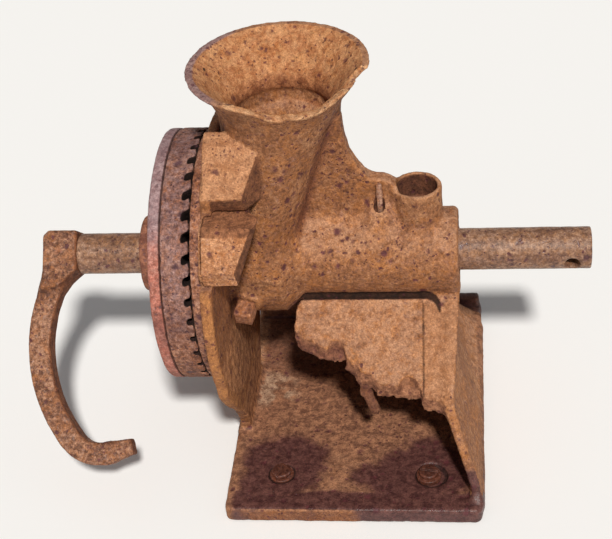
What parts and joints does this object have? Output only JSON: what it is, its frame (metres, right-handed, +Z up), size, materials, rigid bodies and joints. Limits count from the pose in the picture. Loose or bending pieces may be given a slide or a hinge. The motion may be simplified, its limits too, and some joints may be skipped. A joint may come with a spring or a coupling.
{
  "type": "hand crank grain mill",
  "caption": "Rusted cast iron hand crank grain mill with a broken hopper rim, a horizontal spindle, flat round burrs, a bowed crank and a square bolt-down foot.",
  "frame": {"origin": "on the underside of the foot, at its centre", "axes": "+X along the spindle towards the free drive end, +Y to the rear, +Z up from the bench"},
  "size_m": [0.3417, 0.2, 0.2598],
  "materials": {
    "rusted_casting": "dry pitted rust over remains of dark primer",
    "burr_iron": "grey-brown oxide, matt",
    "rusted_steel": "pitted rusty steel, slightly worn",
    "dark_primer_steel": "dark purple-brown primer, semi gloss",
    "red_painted_iron": "faded red paint over rust, matt",
    "rusted_forging": "smooth brown rust with dark pits",
    "bronze": "dull bearing bronze"
  },
  "bodies": {
    "frame": {"mill_body": "rusted_casting", "stationary_burr": "burr_iron", "stationary_burr_screws": "rusted_steel", "front_bush": "bronze", "rear_bush": "bronze", "thrust_washer": "bronze", "retaining_wedge": "rusted_casting", "burr_set_screw": "rusted_steel", "oil_hole_pin": "rusted_steel", "mounting_bolts": "dark_primer_steel", "mounting_washers": "dark_primer_steel"},
    "spindle": {"shaft": "rusted_steel", "feed_worm": "burr_iron", "worm_pin": "rusted_steel", "thrust_collar": "rusted_steel", "collar_screw": "rusted_steel", "burr_carrier": "red_painted_iron", "carrier_key": "rusted_steel", "runner_burr": "burr_iron", "runner_burr_bolts": "rusted_steel", "crank_arm": "rusted_forging", "crank_pin": "rusted_steel"}
  },
  "joints": [
    {"name": "spindle_turn", "type": "hinge", "parent": "frame", "child": "spindle", "pos_m": [0, 0, 0.131], "axis": [1, 0, 0], "continuous": true}
  ]
}
